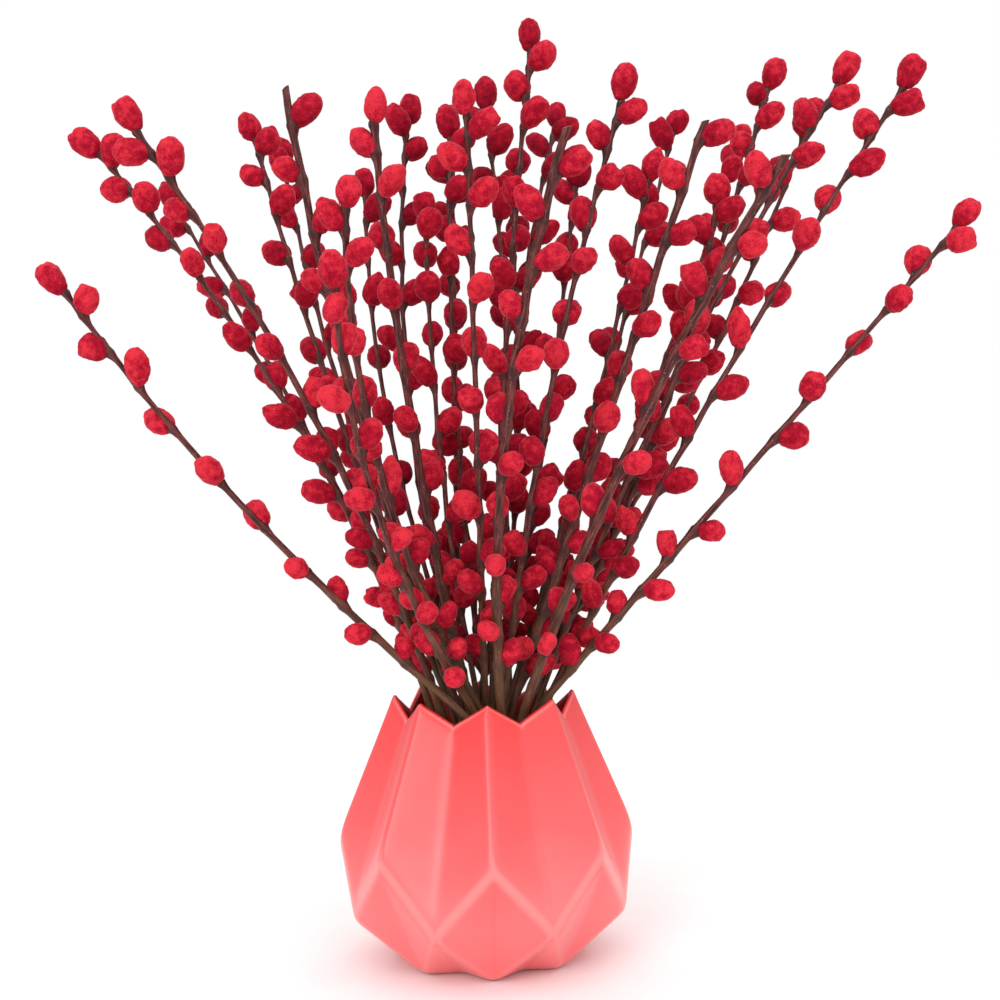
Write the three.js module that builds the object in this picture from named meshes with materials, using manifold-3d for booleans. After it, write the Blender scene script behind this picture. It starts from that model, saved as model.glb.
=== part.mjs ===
// A bunch of red-dyed pussy-willow branches standing in a folded, glazed ceramic vase.
// Millimetres, +Z up. The origin is the middle of the vase's flat underside, and -Y is the front.
// Each branch grew as one piece, stem and catkins together, so each branch is one solid.

import * as THREE from "three";
import { mergeVertices } from "three/addons/utils/BufferGeometryUtils.js";
import Module from "manifold-3d";

const wasm = await Module();
wasm.setup();

// ---- Driving dimensions ----

// The vase: eight upright folds, each with a ridge and a valley. A row gives [radius, height] on both.
const FOLDS = 8;
const FRONT_RIDGE_TURN = 0.05; // radians that the front ridge is turned towards +X
const VASE_FLOOR = 6.5;
const VASE_ROWS = [
  { ridge: [0, 0], valley: [0, 0] }, // middle of the underside
  { ridge: [45, 0], valley: [34, 0] }, // foot
  { ridge: [73, 58.5], valley: [70.5, 27] }, // girdle: top and side corners of the lower diamonds
  { ridge: [44, 130], valley: [40, 120] }, // outer lip
  { ridge: [41.4, 129.4], valley: [37.6, 119.5] }, // inner lip
  { ridge: [69.2, 58.5], valley: [66.3, 28.5] }, // inner girdle
  { ridge: [44, VASE_FLOOR], valley: [36.5, VASE_FLOOR] }, // edge of the inner floor
  { ridge: [0, VASE_FLOOR], valley: [0, VASE_FLOOR] }, // middle of the inner floor
];
const INNER_LIP_ROW = 4; // from this row on, the rows run down the inside of the wall

// The branches: every stem is followed on the same level heights, from its foot in the vase to its tip.
const FOOT_HEIGHT = 8;
const LEVEL_STEP = 20;
const NECK_LEVEL = 6; // the level at the vase's lip
const NECK_HEIGHT = FOOT_HEIGHT + NECK_LEVEL * LEVEL_STEP;
const NECK_SHARE = [0.15, 0.25]; // a stem passes the lip at this share of its tip's x and y
const FOOT_SHARE = 0.8; // inside the vase the stems turn about the axis, as in a hand-tied bunch
const FOOT_TURN = (60 * Math.PI) / 180;
const STEM_GAP = 1; // least free space between two stems, and between a stem and the vase's wall
const STEM_SIDES = 5;
const STEM_STEP = 30;
const SPREAD_ROUNDS = 400;
const SETTLE_ROUNDS = 20; // the last rounds only part the stems and no longer smooth them
const SMOOTHING = 0.5;
const WALL_LEAN = 1.3; // a stem that leans on the wall takes this many times its radius in a level cut

// A gap at the back of the mouth stays open down to the floor, where water is poured in. No stem or catkin
// crosses it below its top level.
const POUR_GAP = { x: 0, y: 26, radius: 11, topLevel: 10 };

// Catkins: fluffy eggs that lean out from the stem, crowded towards the tip.
const CATKIN_LENGTH = [14, 18.5];
const CATKIN_WIDTH = [11.6, 14];
const CATKIN_LEAN = [0.7, 0.9]; // radians from the stem
const TIP_LEAN = { least: 0.08, perSide: 0.1 }; // the catkin at a tip carries on the stem's own line
const TIP_SINK = 3; // the stem's end reaches this far into the catkin at its tip
const BASE_SHARE = 0.6; // a catkin's base sits this share of the stem's radius out from its middle
const CATKIN_GAP = 0.8;
const CATKIN_SIDES = 5;
const CROWDING = [0.5, 0.6, 0.74, 0.88]; // the first gaps below the tip, as a share of the branch's pitch
const PITCH_VARIES = [0.86, 1.14];
const LOWEST_CATKIN = 139;
const LOWEST_FLUFF = 133; // no catkin reaches down into the vase's mouth
const SMALL_BELOW = 215; // catkins lower than this are smaller
const SMALL_SHARE = 0.85;
const LOW_CROWDING = 0.7; // and closer together
const TURN_STEP = 2.83; // radians from one catkin to the next round the stem
const TURN_VARIES = [-0.25, 0.25];
const SIDE_TRIES = [0, 0.5, -0.5, 1, -1, 1.5, -1.5, 2, -2, 2.6, -2.6, 3.1];
const SIZE_TRIES = [1, 0.86, 0.74, 0.64];
const SEED_STEP = 977; // each branch draws its own numbers

// tip: where the stem ends. bow: how far its middle swings along X. low and top: the stem's diameters at
// the lip and at the tip. pitch: spacing of the catkins. side: degrees round the stem of the first side
// catkin, from +X. bare: length of naked wood under a cut top, and 0 where the stem ends in a catkin.
const BRANCHES = [
  { tip: [-184, -70, 326], bow: -11, low: 4.4, top: 2.4, pitch: 31, side: 190, bare: 0, neck: [-13, -31] },
  { tip: [-193, 20, 410], bow: 18, low: 4.2, top: 2.4, pitch: 23, side: 170, bare: 0 },
  { tip: [-172, 95, 398], bow: 6, low: 3.6, top: 2.2, pitch: 32, side: 30, bare: 0 },
  { tip: [-153, -60, 400], bow: 13, low: 4.6, top: 2.6, pitch: 26, side: 20, bare: 0 },
  { tip: [-115, 40, 422], bow: -6, low: 4.2, top: 2.4, pitch: 27, side: 200, bare: 0 },
  { tip: [-111, 110, 426], bow: -8, low: 3.8, top: 2.4, pitch: 25, side: 90, bare: 0 },
  { tip: [-88, -25, 426], bow: -8, low: 5.2, top: 4.2, pitch: 27, side: 10, bare: 18 },
  { tip: [-58, 55, 394], bow: -13, low: 3.4, top: 2.2, pitch: 34, side: 160, bare: 0 },
  { tip: [-55, -125, 316], bow: -13, low: 4.4, top: 2.6, pitch: 28, side: 120, bare: 0 },
  { tip: [-53, -95, 356], bow: -16, low: 4.8, top: 3, pitch: 23, side: 0, bare: 0, neck: [-4, -21] },
  { tip: [-44, -50, 404], bow: -5, low: 5.2, top: 3.8, pitch: 29, side: 350, bare: 0 },
  { tip: [-36, 85, 441], bow: -14, low: 3.8, top: 2.4, pitch: 24, side: 60, bare: 0 },
  { tip: [-24, 15, 372], bow: -5, low: 3.6, top: 2.2, pitch: 24, side: 120, bare: 0 },
  { tip: [-12, 100, 418], bow: 0, low: 3.4, top: 2.2, pitch: 22, side: 10, bare: 0 },
  { tip: [-11, 45, 422], bow: -6, low: 3.6, top: 2.4, pitch: 22, side: 190, bare: 0 },
  { tip: [0, -75, 400], bow: 0, low: 3.8, top: 2.4, pitch: 23, side: 200, bare: 0 },
  { tip: [7, 75, 445], bow: 10, low: 3.4, top: 2.2, pitch: 26, side: 0, bare: 0, neck: [-1, 12] },
  { tip: [20, 95, 402], bow: 6, low: 3.4, top: 2.2, pitch: 22, side: 80, bare: 0 },
  { tip: [32, 5, 454], bow: -4, low: 4, top: 2.6, pitch: 21, side: 170, bare: 0 },
  { tip: [43, -100, 384], bow: -12, low: 5.4, top: 4.4, pitch: 23, side: 10, bare: 20 },
  { tip: [49, 120, 446], bow: -12, low: 3.8, top: 2.4, pitch: 21, side: 200, bare: 0, neck: [12, 31] },
  { tip: [56, 65, 398], bow: 3, low: 3.6, top: 2.2, pitch: 22, side: 340, bare: 0 },
  { tip: [73, -40, 414], bow: -7, low: 4.2, top: 2.4, pitch: 23, side: 180, bare: 0 },
  { tip: [92, 25, 392], bow: 4, low: 3.6, top: 2.2, pitch: 24, side: 30, bare: 0 },
  { tip: [113, -30, 404], bow: 0, low: 5, top: 4, pitch: 23, side: 10, bare: 9 },
  { tip: [114, 90, 433], bow: 2, low: 3.4, top: 2, pitch: 24, side: 40, bare: 0 },
  { tip: [128, 30, 380], bow: 14, low: 3.8, top: 2.4, pitch: 25, side: 190, bare: 0 },
  { tip: [136, -100, 370], bow: -8, low: 5.4, top: 4.4, pitch: 29, side: 190, bare: 17 },
  { tip: [155, 118, 430], bow: 8, low: 3.6, top: 2.2, pitch: 25, side: 300, bare: 0 },
  { tip: [162, 60, 448], bow: 10, low: 4.4, top: 2.6, pitch: 23, side: 340, bare: 0 },
  { tip: [189, 10, 434], bow: -10, low: 3.8, top: 2.4, pitch: 26, side: 170, bare: 0 },
  { tip: [192, 92, 438], bow: 12, low: 3.8, top: 2.4, pitch: 24, side: 60, bare: 0 },
  { tip: [214, -15, 424], bow: -6, low: 4.2, top: 2.4, pitch: 26, side: 180, bare: 0 },
  { tip: [224, -60, 347], bow: 1, low: 4.4, top: 2.4, pitch: 27, side: 160, bare: 0, neck: [30, -13] },
];

const CORAL = 0xff7070;
const BARK = 0x5c4038;

const ceramic = new THREE.MeshStandardMaterial({ color: CORAL, roughness: 0.3, flatShading: true });
const bark = new THREE.MeshStandardMaterial({ color: BARK, roughness: 0.75, flatShading: true });

// ---- Solids ----

function toSolid(geometry) {
  const bare = geometry.clone();
  bare.deleteAttribute("normal");
  bare.deleteAttribute("uv");
  const merged = mergeVertices(bare, 1e-4);
  const vertProperties = Float32Array.from(merged.attributes.position.array);
  const triVerts = Uint32Array.from(merged.index.array);
  return new wasm.Manifold(new wasm.Mesh({ numProp: 3, vertProperties, triVerts }));
}

function toGeometry(solid) {
  const mesh = solid.getMesh();
  const geometry = new THREE.BufferGeometry();
  geometry.setAttribute("position", new THREE.BufferAttribute(mesh.vertProperties, 3));
  geometry.setIndex(new THREE.BufferAttribute(mesh.triVerts, 1));
  geometry.computeVertexNormals();
  return geometry;
}

// A repeatable source of numbers from 0 to 1.
function numbersFrom(seed) {
  let state = seed >>> 0;
  return () => {
    state = (Math.imul(state, 1664525) + 1013904223) >>> 0;
    return state / 4294967296;
  };
}

function between(range, share) {
  return range[0] + (range[1] - range[0]) * share;
}

// ---- Vase ----

// A turned profile whose every second column is then moved from the ridge to the valley.
function vaseGeometry() {
  const columns = 2 * FOLDS;
  const profile = VASE_ROWS.map((row) => new THREE.Vector2(...row.ridge));
  const geometry = new THREE.LatheGeometry(profile, columns);
  const position = geometry.attributes.position;
  const firstAngle = -Math.PI / 2 + FRONT_RIDGE_TURN;
  for (let column = 0; column <= columns; column++) {
    const angle = firstAngle + ((column % columns) * Math.PI) / FOLDS;
    VASE_ROWS.forEach((row, level) => {
      const [radius, height] = column % 2 ? row.valley : row.ridge;
      const corner = column * VASE_ROWS.length + level;
      position.setXYZ(corner, radius * Math.cos(angle), radius * Math.sin(angle), height);
    });
  }
  geometry.setIndex(foldedIndex(columns, VASE_ROWS.length));
  return geometry;
}

// Each quad is split along the crease that runs up from a ridge on one row to a valley on the next. On the
// inside of the wall the rows run downwards, so there the crease takes the other diagonal.
function foldedIndex(columns, rows) {
  const index = [];
  for (let column = 0; column < columns; column++) {
    for (let row = 0; row < rows - 1; row++) {
      const a = column * rows + row;
      const b = a + rows;
      const c = b + 1;
      const d = a + 1;
      const startsOnValley = column % 2 === 1;
      const isInside = row >= INNER_LIP_ROW;
      const faces = startsOnValley === isInside ? [a, b, c, a, c, d] : [a, b, d, b, c, d];
      index.push(...faces);
    }
  }
  return index;
}

// The clear radius inside the vase at a height, which its valleys set.
function clearRadius(height) {
  const [lip, girdle, floor] = VASE_ROWS.slice(INNER_LIP_ROW).map((row) => row.valley);
  const [high, low] = height > girdle[1] ? [lip, girdle] : [girdle, floor];
  const share = (height - low[1]) / (high[1] - low[1]);
  return low[0] + (high[0] - low[0]) * Math.min(share, 1);
}

// ---- Stems ----

const levelHeight = (level) => FOOT_HEIGHT + level * LEVEL_STEP;

function stemRadius(row, height) {
  const share = Math.max(0, (height - NECK_HEIGHT) / (row.tip[2] - NECK_HEIGHT));
  return (row.low + (row.top - row.low) * Math.min(share, 1)) / 2;
}

// Where a stem would run if it had the vase to itself: [x, y] on each level.
function freePath(row) {
  const neck = row.neck || [row.tip[0] * NECK_SHARE[0], row.tip[1] * NECK_SHARE[1]];
  const rise = row.tip[2] - NECK_HEIGHT;
  const slope = [(row.tip[0] - neck[0] + 4 * row.bow) / rise, (row.tip[1] - neck[1]) / rise];
  const turnX = FOOT_SHARE * Math.cos(FOOT_TURN);
  const turnY = FOOT_SHARE * Math.sin(FOOT_TURN);
  const foot = [neck[0] * turnX - neck[1] * turnY, neck[0] * turnY + neck[1] * turnX];
  const depth = NECK_HEIGHT - FOOT_HEIGHT;
  const path = [];
  for (let level = 0; path.length < 2 || levelHeight(level - 1) < row.tip[2]; level++) {
    const share = (levelHeight(level) - NECK_HEIGHT) / rise;
    const sunk = (NECK_HEIGHT - levelHeight(level)) / depth;
    path.push(
      [0, 1].map((axis) => {
        if (sunk <= 0) {
          const swing = axis === 0 ? 4 * row.bow * share * (1 - share) : 0;
          return neck[axis] + (row.tip[axis] - neck[axis]) * share + swing;
        }
        const bend = slope[axis] - (neck[axis] - foot[axis]) / depth;
        return neck[axis] + (foot[axis] - neck[axis]) * sunk - bend * depth * sunk * (1 - sunk) ** 2;
      }),
    );
  }
  return path;
}

// How much wider a leaning stem is in a level cut than square to its length.
function leanFactor(path, level) {
  const dx = path[level + 1][0] - path[level][0];
  const dy = path[level + 1][1] - path[level][1];
  return Math.sqrt(1 + (dx * dx + dy * dy) / (LEVEL_STEP * LEVEL_STEP));
}

// Adds to push what parts two runs of stem between a level and the next, where they come too near.
function partRuns(first, second, level, need, push) {
  const x0 = second.path[level][0] - first.path[level][0];
  const y0 = second.path[level][1] - first.path[level][1];
  const ex = second.path[level + 1][0] - first.path[level + 1][0] - x0;
  const ey = second.path[level + 1][1] - first.path[level + 1][1] - y0;
  const run = ex * ex + ey * ey;
  const share = run > 1e-12 ? Math.min(1, Math.max(0, -(x0 * ex + y0 * ey) / run)) : 0;
  const dx = x0 + ex * share;
  const dy = y0 + ey * share;
  const apart = Math.sqrt(dx * dx + dy * dy);
  if (apart >= need || apart < 1e-9) return;
  const size = (need - apart) / (2 * apart * (share * share + (1 - share) * (1 - share)));
  [1 - share, share].forEach((part, step) => {
    push[first.index][level + step][0] -= dx * size * part;
    push[first.index][level + step][1] -= dy * size * part;
    push[second.index][level + step][0] += dx * size * part;
    push[second.index][level + step][1] += dy * size * part;
  });
}

function keepInside(stem) {
  for (let level = 0; level <= NECK_LEVEL; level++) {
    const height = levelHeight(level);
    const most = clearRadius(height) - WALL_LEAN * stemRadius(stem.row, height) - STEM_GAP;
    const point = stem.path[level];
    const radius = Math.hypot(point[0], point[1]);
    if (radius > most) {
      point[0] *= most / radius;
      point[1] *= most / radius;
    }
  }
}

// Parts the stems from each other, round by round, and spreads each shift along the stem to keep it smooth.
function spreadStems() {
  const stems = BRANCHES.map((row, index) => ({ row, index, path: freePath(row), free: freePath(row) }));
  const gapPath = Array.from({ length: POUR_GAP.topLevel + 1 }, () => [POUR_GAP.x, POUR_GAP.y]);
  const gap = { index: stems.length, path: gapPath };
  for (let round = 0; round < SPREAD_ROUNDS; round++) {
    const push = [...stems, gap].map((stem) => stem.path.map(() => [0, 0]));
    stems.forEach((first, i) => {
      for (let level = 0; level < first.path.length - 1; level++) {
        const height = levelHeight(level);
        const firstWidth = stemRadius(first.row, height) * leanFactor(first.path, level);
        if (level < POUR_GAP.topLevel) partRuns(first, gap, level, firstWidth + POUR_GAP.radius, push);
        for (let j = i + 1; j < stems.length; j++) {
          const second = stems[j];
          if (level >= second.path.length - 1) continue;
          const secondWidth = stemRadius(second.row, height) * leanFactor(second.path, level);
          partRuns(first, second, level, firstWidth + secondWidth + STEM_GAP, push);
        }
      }
    });
    for (const stem of stems) {
      stem.path.forEach((point, level) => {
        point[0] += push[stem.index][level][0];
        point[1] += push[stem.index][level][1];
      });
      if (round < SPREAD_ROUNDS - SETTLE_ROUNDS) smoothShift(stem);
      keepInside(stem);
    }
  }
  return stems;
}

function smoothShift(stem) {
  const shift = stem.path.map(([x, y], level) => [x - stem.free[level][0], y - stem.free[level][1]]);
  for (let level = 1; level < stem.path.length - 1; level++) {
    for (const axis of [0, 1]) {
      const mean = (shift[level - 1][axis] + shift[level + 1][axis]) / 2;
      stem.path[level][axis] += SMOOTHING * (mean - shift[level][axis]);
    }
  }
}

// The stem's middle line as points, ending at the tip's own height.
function middleLine(stem) {
  const points = stem.path.map(([x, y], level) => new THREE.Vector3(x, y, levelHeight(level)));
  const last = points.pop();
  const before = points[points.length - 1];
  const share = (stem.row.tip[2] - before.z) / (last.z - before.z);
  points.push(before.clone().lerp(last, share));
  return points;
}

// An extruded tube, drawn in ring by ring to the stem's own taper.
function stemGeometry(stem) {
  const curve = new THREE.CatmullRomCurve3(stem.line, false, "centripetal");
  const steps = Math.ceil(curve.getLength() / STEM_STEP);
  const corners = Array.from({ length: STEM_SIDES }, (_, i) => {
    const angle = (2 * Math.PI * i) / STEM_SIDES;
    return new THREE.Vector2(Math.cos(angle), Math.sin(angle));
  });
  const section = new THREE.Shape(corners);
  const geometry = new THREE.ExtrudeGeometry(section, { steps, extrudePath: curve, bevelEnabled: false });
  const centres = curve.getSpacedPoints(steps);
  const position = geometry.attributes.position;
  const vertex = new THREE.Vector3();
  for (let i = 0; i < position.count; i++) {
    vertex.fromBufferAttribute(position, i);
    const distances = centres.map((point) => point.distanceToSquared(vertex));
    const centre = centres[distances.indexOf(Math.min(...distances))];
    vertex.sub(centre).multiplyScalar(stemRadius(stem.row, centre.z)).add(centre);
    position.setXYZ(i, vertex.x, vertex.y, vertex.z);
  }
  return geometry;
}

// ---- Catkins ----

// The point at a distance down from the tip, and the stem's direction there, pointing up.
function stationOn(line, distance) {
  let left = distance;
  for (let i = line.length - 1; i > 0; i--) {
    const run = line[i].distanceTo(line[i - 1]);
    if (left <= run || i === 1) {
      const along = line[i].clone().sub(line[i - 1]).divideScalar(run);
      return { point: line[i].clone().addScaledVector(along, -left), along };
    }
    left -= run;
  }
}

function distanceToRun(point, start, end) {
  const run = end.clone().sub(start);
  const share = Math.min(1, Math.max(0, point.clone().sub(start).dot(run) / run.lengthSq()));
  return start.clone().addScaledVector(run, share).distanceTo(point);
}

// A catkin is clear where the balls at its two ends miss every other stem, catkin and the vase.
function isClear(catkin, owner, stems, placed) {
  const radius = catkin.width / 2 + CATKIN_GAP;
  const isLow = catkin.middle.z < levelHeight(POUR_GAP.topLevel);
  for (const ball of catkin.balls) {
    if (ball.z - catkin.width / 2 < LOWEST_FLUFF) return false;
    const toGap = Math.hypot(ball.x - POUR_GAP.x, ball.y - POUR_GAP.y);
    if (isLow && toGap < POUR_GAP.radius + catkin.width / 2) return false;
    for (const other of placed) {
      if (other.owner === owner) continue;
      const need = radius + other.width / 2;
      if (other.balls.some((b) => b.distanceTo(ball) < need)) return false;
    }
    for (const stem of stems) {
      if (stem.index === owner) continue;
      for (let i = 1; i < stem.line.length; i++) {
        if (Math.abs(stem.line[i].z - ball.z) > LEVEL_STEP + radius) continue;
        const need = radius + stemRadius(stem.row, stem.line[i - 1].z);
        if (distanceToRun(ball, stem.line[i - 1], stem.line[i]) < need) return false;
      }
    }
  }
  return true;
}

function catkinAt(station, turn, lean, length, width) {
  const sideways = new THREE.Vector3(1, 0, 0);
  sideways.addScaledVector(station.along, -sideways.dot(station.along)).normalize();
  const depthways = station.along.clone().cross(sideways);
  const out = sideways.multiplyScalar(Math.cos(turn)).addScaledVector(depthways, Math.sin(turn));
  const axis = station.along.clone().multiplyScalar(Math.cos(lean)).addScaledVector(out, Math.sin(lean));
  const base = station.point.clone().addScaledVector(out, station.radius * BASE_SHARE);
  const middle = base.addScaledVector(axis, length / 2);
  const half = (length - width) / 2;
  const balls = [middle.clone().addScaledVector(axis, -half), middle.clone().addScaledVector(axis, half)];
  return { axis, middle, length, width, balls };
}

function placeCatkins(stem, stems, placed) {
  const { row, index, line } = stem;
  const next = numbersFrom(SEED_STEP * (index + 1));
  let distance = row.bare;
  let turn = (row.side * Math.PI) / 180;
  for (let count = 0; ; count++) {
    const station = stationOn(line, distance);
    if (station.point.z < LOWEST_CATKIN) return;
    station.radius = stemRadius(row, station.point.z);
    const isLow = station.point.z < SMALL_BELOW;
    const small = isLow ? SMALL_SHARE : 1;
    const length = between(CATKIN_LENGTH, next()) * small;
    const width = between(CATKIN_WIDTH, next()) * small;
    const lean = between(CATKIN_LEAN, next());
    const atTip = count === 0 && row.bare === 0;
    if (atTip) station.point.addScaledVector(station.along, -TIP_SINK);
    const choices = SIZE_TRIES.flatMap((size) => SIDE_TRIES.map((side) => ({ size, side })));
    for (const { size, side } of choices) {
      const leaning = atTip ? TIP_LEAN.least + TIP_LEAN.perSide * Math.abs(side) : lean;
      const catkin = catkinAt(station, turn + side, leaning, length * size, width * size);
      if (!isClear(catkin, index, stems, placed)) continue;
      placed.push({ ...catkin, owner: index });
      break;
    }
    turn += TURN_STEP + between(TURN_VARIES, next());
    const crowd = row.bare === 0 && count < CROWDING.length ? CROWDING[count] : 1;
    distance += row.pitch * crowd * (isLow ? LOW_CROWDING : 1) * between(PITCH_VARIES, next());
  }
}

// A faceted egg, widest just below its middle, with its narrow end on the stem.
function catkinGeometry(catkin) {
  const { length, width, axis, middle } = catkin;
  const profile = [
    [0, -length / 2],
    [0.51 * width, -0.06 * length],
    [0.45 * width, 0.22 * length],
    [0, length / 2],
  ].map((point) => new THREE.Vector2(...point));
  const geometry = new THREE.LatheGeometry(profile, CATKIN_SIDES);
  const upright = new THREE.Quaternion().setFromUnitVectors(new THREE.Vector3(0, 1, 0), axis);
  return geometry.applyQuaternion(upright).translate(...middle.toArray());
}

// ---- The bunch ----

const stems = spreadStems();
stems.forEach((stem) => {
  stem.line = middleLine(stem);
});
const catkins = [];
stems.forEach((stem) => placeCatkins(stem, stems, catkins));

const bunch = new THREE.Group();
for (const stem of stems) {
  let grown = toSolid(stemGeometry(stem));
  for (const catkin of catkins) {
    if (catkin.owner === stem.index) grown = grown.add(toSolid(catkinGeometry(catkin)));
  }
  const mesh = new THREE.Mesh(toGeometry(grown), bark);
  mesh.name = "branch_" + String(stem.index + 1).padStart(2, "0");
  bunch.add(mesh);
}

const vase = new THREE.Mesh(toGeometry(toSolid(vaseGeometry())), ceramic);
vase.name = "vase";

const part = new THREE.Group();
part.add(vase, bunch);

export default part;
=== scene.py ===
"""Red-dyed pussy-willow branches standing in a folded, glazed ceramic vase.

The bunch is grown in millimetres, stem by stem and catkin by catkin, and every mesh is scaled to metres when
it is finished. The stems share one vase, so they are first parted from each other, and the catkins then take
the free places along them. The origin is the middle of the vase's underside, and -Y is the front.
"""

import logging
import math
import random
from collections.abc import Sequence
from dataclasses import dataclass, field
from enum import Enum

import bmesh
import bpy
import numpy as np
from bmesh.types import BMEdge, BMesh, BMVert
from mathutils import Matrix, Vector


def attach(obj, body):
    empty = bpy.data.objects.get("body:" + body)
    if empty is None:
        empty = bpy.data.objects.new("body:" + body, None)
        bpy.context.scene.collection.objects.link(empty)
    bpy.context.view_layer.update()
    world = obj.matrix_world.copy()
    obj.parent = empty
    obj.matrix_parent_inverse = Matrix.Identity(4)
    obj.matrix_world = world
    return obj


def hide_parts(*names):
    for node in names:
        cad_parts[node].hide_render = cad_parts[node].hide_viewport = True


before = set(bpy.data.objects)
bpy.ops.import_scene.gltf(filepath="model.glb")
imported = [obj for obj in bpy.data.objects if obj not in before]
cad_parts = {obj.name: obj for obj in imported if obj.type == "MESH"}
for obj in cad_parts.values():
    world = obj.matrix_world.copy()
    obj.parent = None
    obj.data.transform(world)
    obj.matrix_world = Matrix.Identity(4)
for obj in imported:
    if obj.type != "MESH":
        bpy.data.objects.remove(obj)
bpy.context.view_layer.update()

MM = 0.001
ROOT = "root"
FULL_TURN = 2 * math.pi
NO_SQUARE = 1e-12  # a squared length, in square millimetres, below which a run counts as a point
NO_LENGTH = 1e-9  # a length, in millimetres, too short to divide by

Colour = tuple[float, float, float, float]


# ---- Small tools ----


def linear(hex_colour: str) -> Colour:
    """Turns an sRGB hex colour into the linear colour that shaders take.

    Args:
        hex_colour: The colour as "#RRGGBB".

    Returns:
        Red, green, blue and alpha, linear.
    """
    shares = [int(hex_colour[i : i + 2], 16) / 255 for i in (1, 3, 5)]
    red, green, blue = [s / 12.92 if s <= 0.04045 else ((s + 0.055) / 1.055) ** 2.4 for s in shares]
    return red, green, blue, 1.0


def per_mm(size: float) -> float:
    """Returns the texture scale whose features are about this many millimetres wide."""
    return 1 / (size * MM)


def add_node(
    tree: bpy.types.NodeTree,
    kind: str,
    inputs: dict[str | int, object] | None = None,
    stops: Sequence[tuple[float, Colour]] = (),
    **settings: object,
) -> bpy.types.Node:
    """Adds a node with its settings, its values and its links.

    Args:
        tree: The material's or world's node tree.
        kind: The node's type name.
        inputs: For each input, a plain value, or the output socket that feeds it.
        stops: Positions and colours along the node's colour ramp, where it has one.
        **settings: The node's own properties.

    Returns:
        The new node.
    """
    node = tree.nodes.new(kind)
    for name, setting in settings.items():
        setattr(node, name, setting)
    for name, value in (inputs or {}).items():
        socket = node.inputs[name]
        if isinstance(value, bpy.types.NodeSocket):
            tree.links.new(value, socket)
        else:
            socket.default_value = value
    for i, (place, colour) in enumerate(stops):
        ramp = node.color_ramp.elements
        stop = ramp[i] if i < 2 else ramp.new(place)
        stop.position = place
        stop.color = colour
    return node


# The places of the colour sockets on a Mix node, whose float and vector sockets have the same names.
MIX_FACTOR, MIX_A, MIX_B, MIX_RESULT = 0, 6, 7, 2


def mix_colours(
    tree: bpy.types.NodeTree, share: bpy.types.NodeSocket, under: bpy.types.NodeSocket, over: str
) -> bpy.types.NodeSocket:
    """Lays a plain colour over another one.

    Args:
        tree: The material's node tree.
        share: How much of the upper colour shows, from 0 to 1.
        under: The lower colour.
        over: The upper colour, as sRGB hex.

    Returns:
        The mixed colour.
    """
    inputs = {MIX_FACTOR: share, MIX_A: under, MIX_B: linear(over)}
    return add_node(tree, "ShaderNodeMix", inputs, data_type="RGBA").outputs[MIX_RESULT]


def new_material(name: str) -> tuple[bpy.types.Material, bpy.types.NodeTree, bpy.types.NodeSocket]:
    """Returns a new material, its node tree, and the socket that gives the place on the object."""
    material = bpy.data.materials.new(name)
    material.use_nodes = True
    tree = material.node_tree
    tree.nodes.clear()
    return material, tree, add_node(tree, "ShaderNodeTexCoord").outputs["Object"]


def give_surface(tree: bpy.types.NodeTree, look: dict[str | int, object]) -> None:
    """Ends a material's tree with its surface, whose shader takes the values and links given."""
    shader = add_node(tree, "ShaderNodeBsdfPrincipled", look)
    add_node(tree, "ShaderNodeOutputMaterial", {"Surface": shader.outputs["BSDF"]})


def link_mesh(name: str, bm: BMesh, materials: Sequence[bpy.types.Material]) -> bpy.types.Object:
    """Turns a finished bmesh, built in millimetres, into an object in metres and links it to the scene.

    Args:
        name: The object's name.
        bm: The finished shape, which is freed.
        materials: The object's materials, in slot order.

    Returns:
        The linked object.
    """
    bmesh.ops.scale(bm, vec=(MM, MM, MM), verts=bm.verts)
    mesh = bpy.data.meshes.new(name)
    bm.to_mesh(mesh)
    bm.free()
    made = bpy.data.objects.new(name, mesh)
    for material in materials:
        mesh.materials.append(material)
    bpy.context.scene.collection.objects.link(made)
    return made


class Draws:
    """A repeatable source of numbers from 0 to 1, the same one that spaces the branches' solid catkins."""

    def __init__(self, seed: int) -> None:
        """Starts the source at a seed."""
        self.state = seed

    def next(self) -> float:
        """Returns the next number."""
        self.state = (self.state * 1664525 + 1013904223) % 2**32
        return self.state / 2**32

    def between(self, low: float, high: float) -> float:
        """Returns the next number, spread between two limits."""
        return low + (high - low) * self.next()


# ---- The bunch's layout ----


@dataclass(frozen=True)
class BranchRow:
    """One branch's own sizes, in millimetres.

    tip is where the stem ends. bow is how far its middle swings along X. low and top are the stem's
    diameters at the lip and at the tip. pitch is the spacing of the catkins. side is the bearing of the first
    side catkin round the stem, in degrees from +X. bare is the length of naked wood under a cut top, and 0
    where the stem ends in a catkin. neck is where the stem passes the lip, if it isn't the usual place.
    """

    tip: tuple[float, float, float]
    bow: float
    low: float
    top: float
    pitch: float
    side: float
    bare: float = 0
    neck: tuple[float, float] | None = None


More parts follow.
